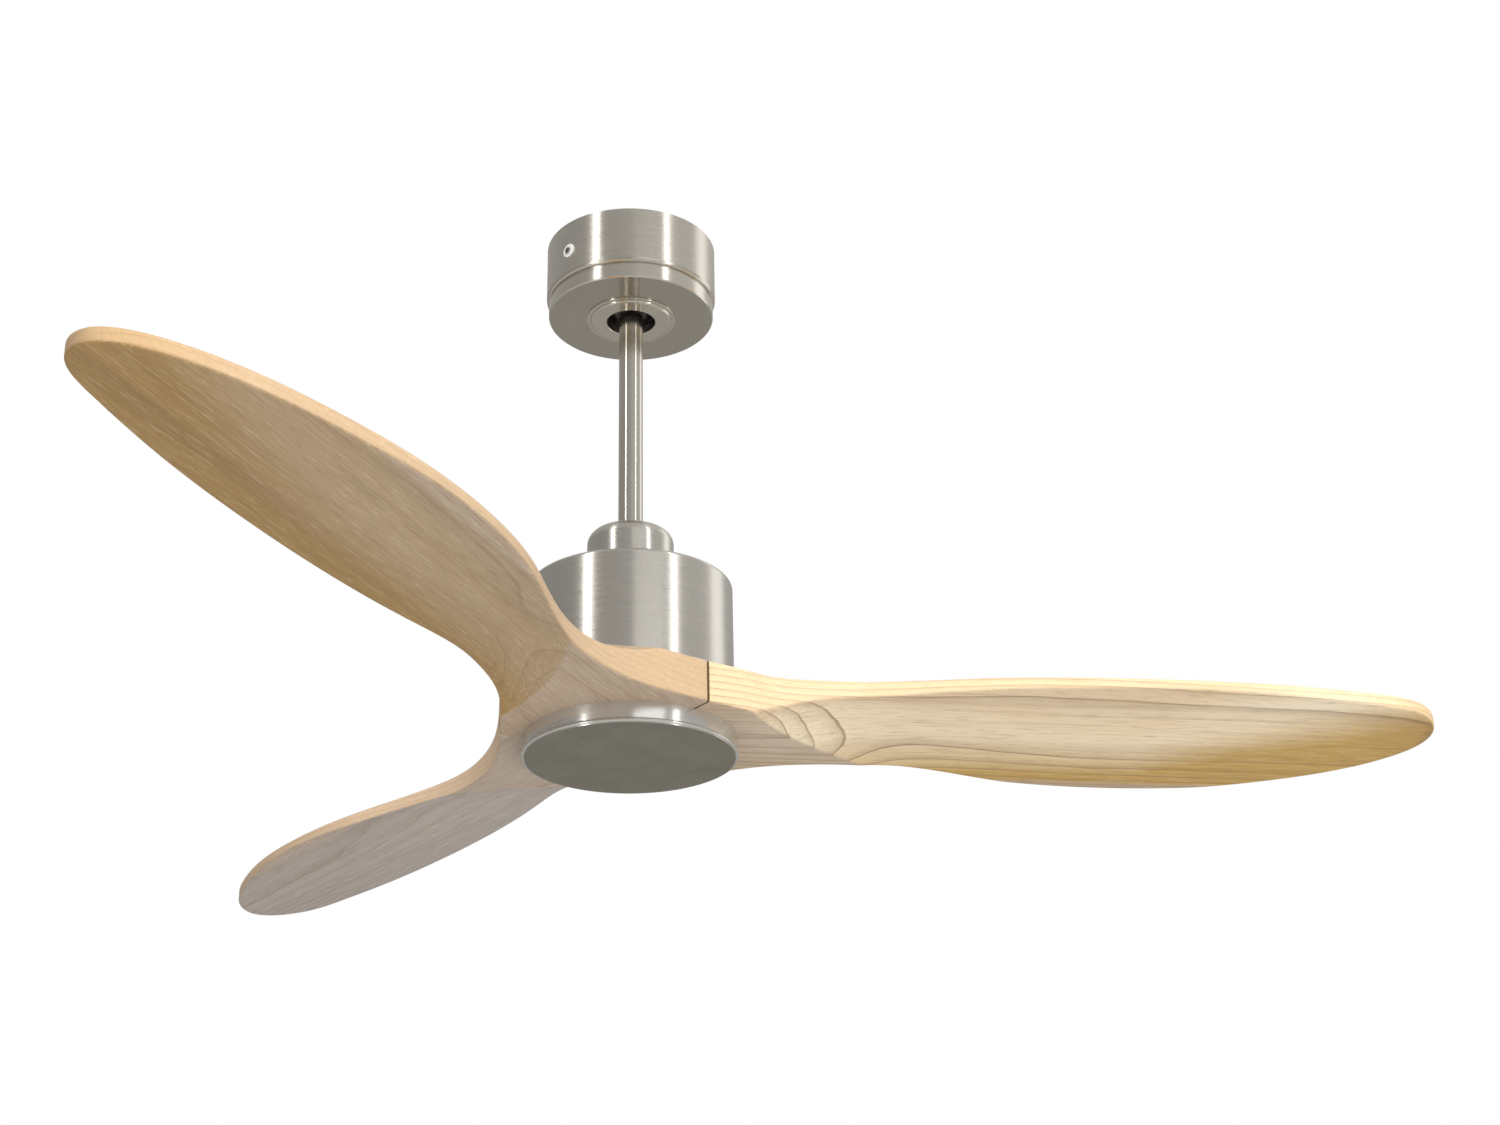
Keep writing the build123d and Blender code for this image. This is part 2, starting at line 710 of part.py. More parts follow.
leading_edge = [
    (65, -80.6),
    (82, -72),
    (98, -63),
    (116, -57.6),
    (144, -56),
    (179, -56.5),
    (238, -67),
    (317, -78.7),
    (415, -83.7),
    (513, -80.2),
    (592, -69.6),
    (631, -57.5),
    (647, -40.3),
]
trailing_edge = [
    (648, -11.2),
    (631, 11),
    (592, 37.3),
    (533, 60.5),
    (464, 77.1),
    (395, 81.7),
    (317, 73.6),
    (238, 52.4),
    (184, 44.2),
    (139.5, 47.6),
    (110, 55.5),
    (86, 67),
    (68, 77.5),
]
tip_y = -25.2
seam_x = seam_radius * math.cos(math.radians(60))
seam_y = seam_radius * math.sin(math.radians(60))
seam_dir = (math.sin(math.radians(60)), math.cos(math.radians(60)))

grid_step = 15.0
grid_rows = 11
grid_columns = 42
grid_width = 100.0
carve_points = [
    [
        Vector(
            crease_x(y) + beyond,
            y,
            at(hub_low) + carve_height(y, beyond),
        )
        for y in [-grid_width + 2 * grid_width * row / (grid_rows - 1) for row in range(grid_rows)]
    ]
    for beyond in [grid_step * (column - 1) for column in range(grid_columns)]
]
carve_face = Face.make_surface_from_array_of_points(carve_points, tol=0.01, min_deg=3, max_deg=3)
carve_below = Solid.extrude(carve_face, Vector(0, 0, -60))
mid_axis = Axis((0, 0, at(board_mid)), (1, 0, 0))
carve_above = carve_below.rotate(mid_axis, 180)

with BuildPart() as blade:
    with BuildSketch(level(hub_low)):
        with BuildLine():
            Spline(
                (seam_x, -seam_y),
                *leading_edge,
                (tip_radius, tip_y),
                tangents=(seam_dir, (0, 1)),
            )
            Spline(
                (tip_radius, tip_y),
                *trailing_edge,
                (seam_x, seam_y),
                tangents=((0, 1), (-seam_dir[0], seam_dir[1])),
            )
            Line((seam_x, seam_y), (0, 0))
            Line((0, 0), (seam_x, -seam_y))
        make_face()
        Circle(hub_bore, mode=Mode.SUBTRACT)
        for turn in (60, -60):
            with Locations(Location((0, 0, 0), (0, 0, turn))):
                with Locations((seam_radius / 2, 0)):
                    Rectangle(2 * seam_radius, seam_gap, mode=Mode.SUBTRACT)
    extrude(amount=board_thick)
    add(carve_below, mode=Mode.SUBTRACT)
    add(carve_above, mode=Mode.SUBTRACT)
    with BuildSketch(level(hub_low)):
        with Locations(*blade_screw_spots):
            Circle(3.2)
    extrude(amount=board_thick, mode=Mode.SUBTRACT)

for number, turn in enumerate(blade_turns, start=1):
    keep(blade.part.rotate(Axis.Z, turn), f"blade_{number}")

# ---- clamp plate under the hub, blade screws, and the cap on its central stud ----
stud_radius = 4.0
with BuildPart() as clamp_plate:
    with BuildSketch(level(hub_low - clamp_thick)):
        Circle(clamp_radius)
        Circle(stud_radius, mode=Mode.SUBTRACT)
        for turn in blade_turns:
            with Locations(Location((0, 0, 0), (0, 0, turn))):
                with Locations(*blade_screw_spots):
                    Circle(3.2, mode=Mode.SUBTRACT)
    extrude(amount=clamp_thick)
keep(clamp_plate.part, "clamp_plate")

screw_head = 3.5
with BuildPart() as blade_screws:
    for turn in blade_turns:
        with BuildSketch(level(hub_low - clamp_thick - screw_head, turn)):
            with Locations(*blade_screw_spots):
                Circle(5.5)
        extrude(amount=screw_head)
        with BuildSketch(level(hub_low - clamp_thick, turn)):
            with Locations(*blade_screw_spots):
                Circle(2.95)
        extrude(amount=board_thick + clamp_thick + flange_thick - 0.5)
        with BuildSketch(level(hub_low - clamp_thick - screw_head, turn)):
            with Locations(*blade_screw_spots):
                RegularPolygon(2.6, 6)
        extrude(amount=2, mode=Mode.SUBTRACT)
keep(blade_screws.part, "blade_screws")

stud_low = cap_face + 3
boss_top = cap_face + 9
cap_inside = cap_face + cap_floor
with BuildPart() as cap_stud:
    with BuildSketch(level(stud_low)):
        Circle(stud_radius)
    extrude(amount=hub_low + 6 - stud_low)
    with BuildSketch(level(hub_low)):
        RegularPolygon(6.5, 6, major_radius=False)
    extrude(amount=5)
keep(cap_stud.part, "cap_stud")

with BuildPart() as cap_boss:
    with BuildSketch(level(cap_inside)):
        Circle(11)
        Circle(stud_radius, mode=Mode.SUBTRACT)
    extrude(amount=boss_top - cap_inside)
keep(cap_boss.part, "cap_boss")

lip_low = cap_face + 0.7
lip_high = cap_face + 2.6
lip_middle = (lip_low + lip_high) / 2
lip_root = cap_radius - (lip_high - lip_low) / 2
cap_wall_radius = cap_radius - 1.5
with BuildPart() as bottom_cap:
    with BuildSketch(Plane.XZ):
        with BuildLine():
            Polyline(
                (lip_root, at(lip_low)),
                (lip_root - 0.4, at(cap_face)),
                (0, at(cap_face)),
                (0, at(cap_inside)),
                (cap_wall_radius - cap_wall, at(cap_inside)),
                (cap_wall_radius - cap_wall, at(hub_low)),
                (cap_wall_radius, at(hub_low)),
                (cap_wall_radius, at(lip_high)),
                (lip_root, at(lip_high)),
            )
            ThreePointArc((lip_root, at(lip_high)), (cap_radius, at(lip_middle)), (lip_root, at(lip_low)))
        make_face()
    revolve(axis=Axis.Z)
keep(bottom_cap.part, "bottom_cap")
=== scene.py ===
"""A three-blade ceiling fan: carved pale-wood blades under a brushed nickel motor, hung from a canopy.

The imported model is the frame. The blades are rebuilt here with rounded edges and a crisp carved
line, the bottom cap is turned with a finer lip, and every other piece keeps its shape and gets its
finish. Metres, apart from the outlines, which are in millimetres as MM says. The origin is at the
centre of the ceiling face, and the fan hangs towards -Z.
"""
import math

import bmesh
import bpy
import numpy as np
from mathutils import Matrix, Vector
from mathutils.geometry import delaunay_2d_cdt


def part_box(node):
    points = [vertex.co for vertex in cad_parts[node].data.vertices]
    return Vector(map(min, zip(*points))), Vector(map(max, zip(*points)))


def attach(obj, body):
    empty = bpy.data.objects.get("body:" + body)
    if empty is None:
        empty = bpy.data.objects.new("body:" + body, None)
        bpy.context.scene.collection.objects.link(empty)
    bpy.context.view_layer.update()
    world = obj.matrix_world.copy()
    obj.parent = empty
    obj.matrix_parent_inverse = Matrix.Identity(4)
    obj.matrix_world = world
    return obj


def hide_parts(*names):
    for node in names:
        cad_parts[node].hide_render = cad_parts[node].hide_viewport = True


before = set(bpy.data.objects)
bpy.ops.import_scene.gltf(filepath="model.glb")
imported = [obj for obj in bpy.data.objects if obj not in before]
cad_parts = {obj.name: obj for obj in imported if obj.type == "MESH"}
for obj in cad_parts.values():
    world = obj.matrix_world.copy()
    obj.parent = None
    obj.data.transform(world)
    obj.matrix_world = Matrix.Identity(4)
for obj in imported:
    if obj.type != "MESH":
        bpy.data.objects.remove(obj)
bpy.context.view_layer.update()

MM = 0.001


# ---- materials: short calls that add nodes and join them up ----


class Surface:
    """One procedural material."""

    def __init__(self, name, **constants):
        self.material = bpy.data.materials.new(name)
        self.material.use_nodes = True
        self.tree = self.material.node_tree
        self.shader = self.tree.nodes["Principled BSDF"]
        for socket, value in constants.items():
            self.shader.inputs[socket.replace("_", " ")].default_value = value

    def feed(self, socket, value):
        """Joins an output to a socket, or sets the socket to a plain value."""
        if isinstance(value, bpy.types.NodeSocket):
            self.tree.links.new(value, socket)
        else:
            socket.default_value = value

    def node(self, kind, inputs=None, **settings):
        made = self.tree.nodes.new("ShaderNode" + kind)
        for key, value in settings.items():
            setattr(made, key, value)
        for key, value in (inputs or {}).items():
            self.feed(made.inputs[key], value)
        return made

    def place(self):
        """The piece's own coordinates, in metres."""
        return self.node("TexCoord").outputs["Object"]

    def math(self, operation, first, second=0.0, third=0.0):
        made = self.node("Math", operation=operation)
        for socket, value in zip(made.inputs, (first, second, third)):
            self.feed(socket, value)
        return made.outputs[0]

    def vector(self, operation, first, second=(0, 0, 0)):
        made = self.node("VectorMath", operation=operation)
        self.feed(made.inputs[0], first)
        self.feed(made.inputs[1], second)
        return made.outputs[0]

    def scaled(self, place, scale):
        return self.vector("MULTIPLY", place, scale)

    def noise(self, place, scale=1.0, detail=2.0, roughness=0.5, distortion=0.0):
        inputs = {"Vector": place, "Scale": scale, "Detail": detail}
        inputs |= {"Roughness": roughness, "Distortion": distortion}
        return self.node("TexNoise", inputs).outputs["Fac"]

    def span(self, value, low, high, new_low=0.0, new_high=1.0):
        """Maps a value from one range to another, held at its ends."""
        inputs = {"Value": value, "From Min": low, "From Max": high}
        inputs |= {"To Min": new_low, "To Max": new_high}
        return self.node("MapRange", inputs).outputs["Result"]

    def ramp(self, factor, stops):
        """A colour ramp through (position, colour) stops."""
        made = self.node("ValToRGB", {"Fac": factor})
        elements = made.color_ramp.elements
        while len(elements) < len(stops):
            elements.new(0.5)
        for element, (position, colour) in zip(elements, stops):
            element.position = position
            element.color = (*colour, 1.0)
        return made.outputs["Color"]

    def mix(self, factor, first, second, blend="MIX"):
        made = self.node("Mix", data_type="RGBA", blend_type=blend)
        for index, value in ((0, factor), (6, first), (7, second)):
            self.feed(made.inputs[index], (*value, 1.0) if isinstance(value, tuple) else value)
        return made.outputs[2]

    def lean(self, normal="Normal"):
        """How far a face looks up or down, from 1 to -1."""
        ways = self.node("NewGeometry").outputs[normal]
        return self.node("SeparateXYZ", {"Vector": ways}).outputs["Z"]

    def bump(self, height, distance, strength=1.0):
        inputs = {"Height": height, "Distance": distance, "Strength": strength}
        self.feed(self.shader.inputs["Normal"], self.node("Bump", inputs).outputs["Normal"])

    def paint(self, **outputs):
        for socket, value in outputs.items():
            if isinstance(value, tuple):
                value = (*value, 1.0)
            self.feed(self.shader.inputs[socket.replace("_", " ")], value)
        return self.material


def around_axis(surface, turns, layers):
    """Coordinates that change slowly round the fan's axis and quickly along z or the radius."""
    place = surface.place()
    flat = surface.vector("MULTIPLY", place, (1, 1, 0))
    ring = surface.scaled(surface.vector("NORMALIZE", flat), (turns, turns, 0))
    parts = surface.node("SeparateXYZ", {"Vector": place})
    length = surface.node("VectorMath", operation="LENGTH")
    surface.feed(length.inputs[0], flat)
    run = surface.math("ADD", length.outputs["Value"], parts.outputs["Z"])
    rise = surface.node("CombineXYZ", {"Z": surface.math("MULTIPLY", run, layers)})
    return surface.vector("ADD", ring, rise.outputs["Vector"])


def brushed_nickel(name, tint, roughness, anisotropy=0.85, down_shade=1.0, metallic=1.0):
    """Nickel brushed round the fan's axis: fine rings, some longer scratches, and soft clouding.
    Faces that look straight down are darker by the factor down_shade, a painted shade."""
    surface = Surface(name, Metallic=metallic, Anisotropic=anisotropy, Anisotropic_Rotation=0.25)
    tangent = surface.node("Tangent", direction_type="RADIAL", axis="Z")
    surface.feed(surface.shader.inputs["Tangent"], tangent.outputs["Tangent"])
    fine = surface.noise(around_axis(surface, 5.0, 1900.0), detail=3.0, roughness=0.65)
    broad = surface.noise(around_axis(surface, 1.6, 260.0), detail=2.0)
    cloud = surface.noise(surface.place(), 22.0, detail=3.0)
    lines = surface.math("MULTIPLY_ADD", broad, 0.3, surface.math("MULTIPLY", fine, 0.7))
    dark = tuple(0.93 * c for c in tint)
    light = tuple(min(1.0, 1.05 * c) for c in tint)
    colour = surface.mix(surface.span(lines, 0.36, 0.64), dark, light)
    colour = surface.mix(surface.span(cloud, 0.3, 0.75, 0.0, 0.2), colour, dark)
    # Painted shade: faces that look straight down are darkened by the factor down_shade.
    if down_shade < 1.0:
        down = surface.span(surface.lean(), -0.99, -0.9, 1.0, 0.0)
        shade = surface.mix(1.0, colour, (down_shade, down_shade, 0.97 * down_shade), blend="MULTIPLY")
        colour = surface.mix(down, colour, shade)
    surface.bump(lines, 0.000004, 0.5)
    rough = surface.span(lines, 0.3, 0.7, roughness * 0.9, roughness * 1.12)
    return surface.paint(Base_Color=colour, Roughness=rough)


def blasted_face(name, tint):
    """A matt, bead-blasted metal face: fine grit and a few darker clouds."""
    surface = Surface(name, Metallic=1.0)
    grit = surface.noise(surface.place(), 650.0, detail=3.0, roughness=0.7)
    patch = surface.noise(surface.place(), 30.0, detail=4.0, roughness=0.6)
    dark = tuple(0.66 * c for c in tint)
    colour = surface.mix(surface.span(grit, 0.3, 0.7), dark, tint)
    colour = surface.mix(surface.span(patch, 0.35, 0.7, 0.0, 0.5), colour, dark)
    surface.bump(grit, 0.00006, 0.4)
    return surface.paint(Base_Color=colour, Roughness=surface.span(patch, 0.3, 0.7, 0.48, 0.58))


def cast_metal(name, tint, roughness, size=900.0):
    """A plain metal with a fine matt grain and a little clouding."""
    surface = Surface(name, Metallic=1.0)
    grain = surface.noise(surface.place(), size, detail=3.0, roughness=0.6)
    cloud = surface.noise(surface.place(), 35.0, detail=4.0)
    dark = tuple(0.72 * c for c in tint)
    colour = surface.mix(surface.span(grain, 0.35, 0.65), dark, tint)
    colour = surface.mix(surface.span(cloud, 0.4, 0.7, 0.0, 0.35), colour, dark)
    surface.bump(grain, 0.00003, 0.5)
    rough = surface.span(cloud, 0.3, 0.7, roughness * 0.85, roughness * 1.15)
    return surface.paint(Base_Color=colour, Roughness=rough)


def moulded(name, tint, roughness):
    """Moulded plastic with a fine spark texture."""
    surface = Surface(name)
    spark = surface.noise(surface.place(), 1400.0, detail=2.0)
    cloud = surface.noise(surface.place(), 60.0, detail=3.0)
    shade = tuple(0.82 * c for c in tint)
    colour = surface.mix(surface.span(cloud, 0.35, 0.7, 0.0, 0.5), tint, shade)
    surface.bump(spark, 0.00003, 0.5)
    rough = surface.span(spark, 0.3, 0.7, roughness * 0.85, roughness * 1.15)
    return surface.paint(Base_Color=colour, Roughness=rough)


def copper_windings(name):
    """Enamelled wire: rows of turns up the stack."""
    surface = Surface(name, Metallic=1.0, Coat_Weight=0.6, Coat_Roughness=0.15)
    parts = surface.node("SeparateXYZ", {"Vector": surface.place()})
    turns = surface.math("PINGPONG", surface.math("MULTIPLY", parts.outputs["Z"], 1250.0), 0.5)
    colour = surface.mix(surface.span(turns, 0.0, 0.5), (0.20, 0.06, 0.02), (0.72, 0.30, 0.11))
    surface.bump(turns, 0.0005, 0.8)
    return surface.paint(Base_Color=colour, Roughness=0.3)


def laminations(name):
    """Stacked steel sheets: thin dark lines up the stack."""
    surface = Surface(name, Metallic=1.0)
    parts = surface.node("SeparateXYZ", {"Vector": surface.place()})
    sheets = surface.math("PINGPONG", surface.math("MULTIPLY", parts.outputs["Z"], 2000.0), 0.5)
    colour = surface.mix(surface.span(sheets, 0.0, 0.3), (0.08, 0.08, 0.09), (0.38, 0.38, 0.39))
    surface.bump(sheets, 0.0002, 0.6)
    return surface.paint(Base_Color=colour, Roughness=0.42)


def circuit_board(name):
    """Green resist over pale tracks."""
    surface = Surface(name, Coat_Weight=0.3, Coat_Roughness=0.2)
    tracks = surface.node("TexBrick", {"Vector": surface.place(), "Scale": 260.0})
    tracks.inputs["Mortar Size"].default_value = 0.03
    colour = surface.mix(tracks.outputs["Fac"], (0.012, 0.10, 0.035), (0.05, 0.24, 0.08))
    return surface.paint(Base_Color=colour, Roughness=0.38)


# ---- wood: growth rings through the solid, with pores, streaks and a satin lacquer ----

SEAM_ANGLE = math.radians(60)
WOOD_LINE = (0.24, 0.14, 0.065)
WOOD_FLAT_SHADE = (0.55, 0.44, 0.35)
WOOD_GLINT = (0.98, 0.82, 0.60)
SEAM_DARK = (0.10, 0.05, 0.02)
RING_STEP = 0.005

# Where a tint fades in or out, in metres: from the middle level to a flat face, where the tint is painted
# shade, and from the seam.
FLAT_FADE = (0.0158, 0.0166)
SEAM_FADE = (0.0009, 0.0014)

# How dark the wood is through one year's ring, from its start to its end.
YEAR_TONES = [(0.0, 0.0), (0.55, 0.05), (0.88, 0.30), (0.955, 1.0), (1.0, 0.0)]

# What sets each blade's board apart: its colours, where its heart lies, and how strong its marks are.
# Each board's edge colour is painted light and shade, laid on its upright edge faces.
BOARDS = {
    "blade_1": {
        "seed": 1.0, "centre": -0.062, "distance": 0.20, "side": 1.0, "tip": 0.105,
        "pale": (0.99, 0.86, 0.65), "warm": (0.97, 0.79, 0.54), "cool": (0.82, 0.62, 0.40),
        "gold": (0.57, 0.34, 0.06), "edge": (0.80, 0.57, 0.34),
        "veins": 0.15, "streaks": 0.3, "lines": 0.85, "seam": 0.9,
    },
    "blade_2": {
        "seed": 2.0, "centre": 0.03, "distance": 0.22, "side": 1.0, "tip": 0.0,
        "pale": (0.57, 0.50, 0.45), "warm": (0.52, 0.45, 0.40), "cool": (0.49, 0.44, 0.41),
        "gold": (0.50, 0.44, 0.40), "edge": (0.88, 0.60, 0.34),
        "veins": 0.25, "streaks": 0.2, "lines": 0.5, "seam": 0.0,
    },
    "blade_3": {
        "seed": 3.0, "centre": -0.02, "distance": 0.30, "side": -1.0, "tip": 0.06,
        "pale": (0.56, 0.41, 0.25), "warm": (0.50, 0.35, 0.20), "cool": (0.47, 0.35, 0.22),
        "gold": (0.42, 0.25, 0.075), "edge": (0.62, 0.43, 0.26),
        "veins": 0.4, "streaks": 0.15, "lines": 0.35, "seam": 0.0,
    },
}


def growth_rings(surface, apart, y, z, board):
    """How dark a ring is, and each year's own random value. The rings are nearly level shells about
    a heart above the board, so the carved face cuts them into arcs beside the crease and long lines
    towards the tip."""
    sway = surface.noise(surface.scaled(apart, (1.9, 6.0, 6.0)), detail=1.0)
    ripple = surface.noise(surface.scaled(apart, (11.0, 34.0, 34.0)), detail=2.0)
    across = surface.math("SUBTRACT", y, board["centre"])
    bow = surface.math("DIVIDE", surface.math("MULTIPLY", across, across), 2.0 * board["distance"])
    rings = surface.math("ADD", z, bow)
    rings = surface.math("MULTIPLY_ADD", sway, 0.030, rings)
    rings = surface.math("MULTIPLY_ADD", ripple, 0.0018, rings)
    rings = surface.math("DIVIDE", rings, RING_STEP)
    tones = [(position, (tone, tone, tone)) for position, tone in YEAR_TONES]
    late = surface.ramp(surface.math("FRACT", rings), tones)
    presence = surface.noise(surface.scaled(apart, (3.0, 16.0, 16.0)), detail=1.0)
    late = surface.math("MULTIPLY", late, surface.span(presence, 0.3, 0.6, 0.5, 1.0))
    year = surface.node("TexWhiteNoise", {"W": surface.math("FLOOR", rings)}, noise_dimensions="1D")
    return late, year.outputs["Value"]


def board_colour(surface, apart, x, y, year, board):
    """The board's broad colours. One long side and the tip turn to gold, the other side to cool."""
    mottle = surface.noise(surface.scaled(apart, (4.0, 18.0, 18.0)), detail=3.0)
    vein = surface.noise(surface.scaled(apart, (0.9, 26.0, 26.0)), detail=3.0, roughness=0.6)
    edge = surface.math("MULTIPLY_ADD", mottle, 0.05, surface.math("MULTIPLY", y, board["side"]))
    edge = surface.math("ADD", edge, surface.span(x, 0.42, 0.65, 0.0, board["tip"]))
    body = surface.mix(surface.span(mottle, 0.3, 0.7), board["warm"], board["pale"])
    body = surface.mix(surface.math("MULTIPLY", year, 0.30), body, board["cool"])
    body = surface.mix(surface.span(edge, -0.035, 0.0, 0.8, 0.0), body, board["cool"])
    body = surface.mix(surface.span(edge, 0.03, 0.085, 0.0, 0.9), body, board["gold"])
    return surface.mix(surface.span(vein, 0.50, 0.72, 0.0, board["veins"]), body, WOOD_LINE)


def wood(name, turn, middle, board):
    """One board's wood, for a blade turned this far round the hub. The flat hub faces, furthest from
    the middle level, take a taupe painted shade, and the edges take painted light and shade."""
    surface = Surface(name, Coat_Weight=0.10, Coat_Roughness=0.35, Specular_IOR_Level=0.35)
    along = {"Vector": surface.place(), "Angle": -turn}
    place = surface.node("VectorRotate", along, rotation_type="Z_AXIS").outputs["Vector"]
    parts = surface.node("SeparateXYZ", {"Vector": place})
    x, y, z = (parts.outputs[axis] for axis in "XYZ")
    seed = board["seed"]
    apart = surface.vector("ADD", place, (3.1 * seed, 1.7 * seed, 0.9 * seed))
    streak = surface.noise(surface.scaled(apart, (3.0, 190.0, 190.0)), detail=3.0, roughness=0.6)
    flecks = surface.noise(surface.scaled(apart, (38.0, 620.0, 620.0)), detail=3.0, roughness=0.75)
    late, year = growth_rings(surface, apart, y, z, board)

    body = board_colour(surface, apart, x, y, year, board)
    away = surface.math("ABSOLUTE", surface.math("SUBTRACT", z, middle))
    # Painted shade: the flat hub faces, furthest from the middle level, turn taupe.
    body = surface.mix(surface.span(away, *FLAT_FADE, 0.0, 0.7), body, WOOD_FLAT_SHADE)
    body = surface.mix(surface.span(streak, 0.50, 0.78, 0.0, board["streaks"]), body, WOOD_LINE)
    body = surface.mix(surface.span(flecks, 0.54, 0.72, 0.0, 0.5), body, WOOD_LINE)
    body = surface.mix(surface.span(flecks, 0.28, 0.46, 0.35, 0.0), body, WOOD_GLINT)
    # Painted light and shade: the more upright a face, as on the blade's edges, the more it takes the
    # board's edge colour.
    level = surface.math("ABSOLUTE", surface.lean("True Normal"))
    body = surface.mix(surface.span(level, 0.35, 0.75, 0.6, 0.0), body, board["edge"])
    body = surface.mix(surface.math("MULTIPLY", late, board["lines"]), body, WOOD_LINE)
    from_seam = surface.math("MULTIPLY", surface.math("ABSOLUTE", y), -math.cos(SEAM_ANGLE))
    from_seam = surface.math("MULTIPLY_ADD", x, math.sin(SEAM_ANGLE), from_seam)
    body = surface.mix(surface.span(from_seam, *SEAM_FADE, board["seam"], 0.0), body, SEAM_DARK)

    relief = surface.math("MULTIPLY_ADD", flecks, -0.5, surface.math("MULTIPLY", late, -0.5))
    surface.bump(relief, 0.00018, 0.5)
    rough = surface.span(streak, 0.3, 0.7, 0.42, 0.55)
    return surface.paint(Base_Color=body, Roughness=rough)


# ---- blade: plan outline, carved faces and rounded edges ----

LEADING_EDGE = [
    (50.75, -87.9), (65, -80.6), (82, -72), (98, -63), (116, -57.6), (144, -56), (179, -56.5), (238, -67),
    (317, -78.7), (415, -83.7), (513, -80.2), (592, -69.6), (631, -57.5), (647, -40.3), (651, -25.2),
]
TRAILING_EDGE = [
    (651, -25.2), (648, -11.2), (631, 11), (592, 37.3), (533, 60.5), (464, 77.1), (395, 81.7), (317, 73.6),
    (238, 52.4), (184, 44.2), (139.5, 47.6), (110, 55.5), (86, 67), (68, 77.5), (50.75, 87.9),
]
BLADE_TURN = math.radians(120)
SEAM_GAP = 0.7
HUB_BORE = 14.0
BLADE_THICK = 10.6
BLADE_SLOPE = 0.16
CARVE_RUN = 110.0
CREASE_END = 73.0
CREASE_TERMS = (84.0, 0.4645, 0.00393)

EDGE_ROUND = 2.0
SEAM_ROUND = 0.6
BORE_ROUND = 0.3
CORNER_ROUND = 2.2
ROUND_STEPS = 6
WALL_BANDS = 4
STATION = 3.0
GRID = 4.0
GRID_CLEAR = 0.42


def crease_x(y):
    """How far out the flat hub face ends at this place across the blade."""
    start, slope, bend = CREASE_TERMS
    along = y + CREASE_END
    return start + slope * along + bend * along**2


def carve(x, y, board):
    """How far the carved face stands away from the board's flat face."""
    rise = (board - BLADE_THICK) / 2 - BLADE_SLOPE * y
    beyond = np.clip((x - crease_x(y)) / CARVE_RUN, 0.0, 1.0)
    return np.maximum(0.0, rise) * (1.0 - (1.0 - beyond) ** 3)


def smooth_curve(points, first_way, last_way, spacing):
    """Points about this far apart on the smooth curve through a few given ones."""
    points = np.array(points, float)
    steps = np.diff(points, axis=0)
    chords = np.hypot(*steps.T)
    slopes = steps / chords[:, None]
    count = len(points)
    system = np.eye(count)
    sides = np.zeros((count, 2))
    sides[0] = first_way
    sides[-1] = last_way
    for i in range(1, count - 1):
        system[i, i - 1] = chords[i]
        system[i, i] = 2 * (chords[i - 1] + chords[i])
        system[i, i + 1] = chords[i - 1]
        sides[i] = 3 * (chords[i] * slopes[i - 1] + chords[i - 1] * slopes[i])
    ways = np.linalg.solve(system, sides)
    curve = [points[:1]]
    for i, chord in enumerate(chords):
        t = np.linspace(0, 1, max(2, round(chord / spacing)) + 1)[1:, None]
        curve.append(
            points[i] * (2 * t**3 - 3 * t**2 + 1)
            + ways[i] * chord * (t**3 - 2 * t**2 + t)
            + points[i + 1] * (3 * t**2 - 2 * t**3)
            + ways[i + 1] * chord * (t**3 - t**2)
        )
    return np.concatenate(curve)


def seam_line(side):
    """Points up one seam, from the outer corner's round to the hub's bore."""
    way = np.array([math.cos(SEAM_ANGLE), side * math.sin(SEAM_ANGLE)])
    inward = np.array([math.sin(SEAM_ANGLE), -side * math.cos(SEAM_ANGLE)])
    outer = math.hypot(*LEADING_EDGE[0]) - CORNER_ROUND
    inner = math.sqrt(HUB_BORE**2 - (SEAM_GAP / 2) ** 2)
    reach = np.linspace(outer, inner, round((outer - inner) / STATION))[:, None]
    return reach * way + inward * SEAM_GAP / 2


def corner_arc(side):
    """The rounded outer corner of a seam, from the blade's edge to the seam."""
    way = np.array([math.cos(SEAM_ANGLE), side * math.sin(SEAM_ANGLE)])
    inward = np.array([math.sin(SEAM_ANGLE), -side * math.cos(SEAM_ANGLE)])
    outer = math.hypot(*LEADING_EDGE[0])
    centre = (outer - CORNER_ROUND) * way + inward * (SEAM_GAP / 2 + CORNER_ROUND)
    turns = np.linspace(0, math.pi / 2, 6)[:-1, None]
    return centre + CORNER_ROUND * (np.cos(turns) * way - np.sin(turns) * inward)


def blade_outline():
    """The blade's plan, anticlockwise, with the radius that each point's edge is rounded to."""
    start = (math.sin(SEAM_ANGLE), math.cos(SEAM_ANGLE))
    leading = smooth_curve(LEADING_EDGE, start, (0, 1), STATION)
    trailing = smooth_curve(TRAILING_EDGE, (0, 1), (-start[0], start[1]), STATION)
    clear = SEAM_GAP / 2 + CORNER_ROUND
    from_seam = np.hypot(*(leading - leading[0]).T) > clear + 0.5
    to_seam = np.hypot(*(trailing - trailing[-1]).T) > clear + 0.5
    bore_end = math.asin(SEAM_GAP / 2 / HUB_BORE)
    turns = np.linspace(SEAM_ANGLE - bore_end, bore_end - SEAM_ANGLE, 13)[1:-1]
    bore = HUB_BORE * np.stack([np.cos(turns), np.sin(turns)], axis=1)
    runs = [
        (leading[from_seam], EDGE_ROUND),
        (trailing[1:][to_seam[1:]], EDGE_ROUND),
        (corner_arc(1), EDGE_ROUND),
        (seam_line(1), SEAM_ROUND),
        (bore, BORE_ROUND),
        (seam_line(-1)[::-1], SEAM_ROUND),
        (corner_arc(-1)[::-1], EDGE_ROUND),
    ]
    outline = np.concatenate([run for run, _ in runs])
    rounds = np.concatenate([np.full(len(run), radius) for run, radius in runs])
    return outline, rounds


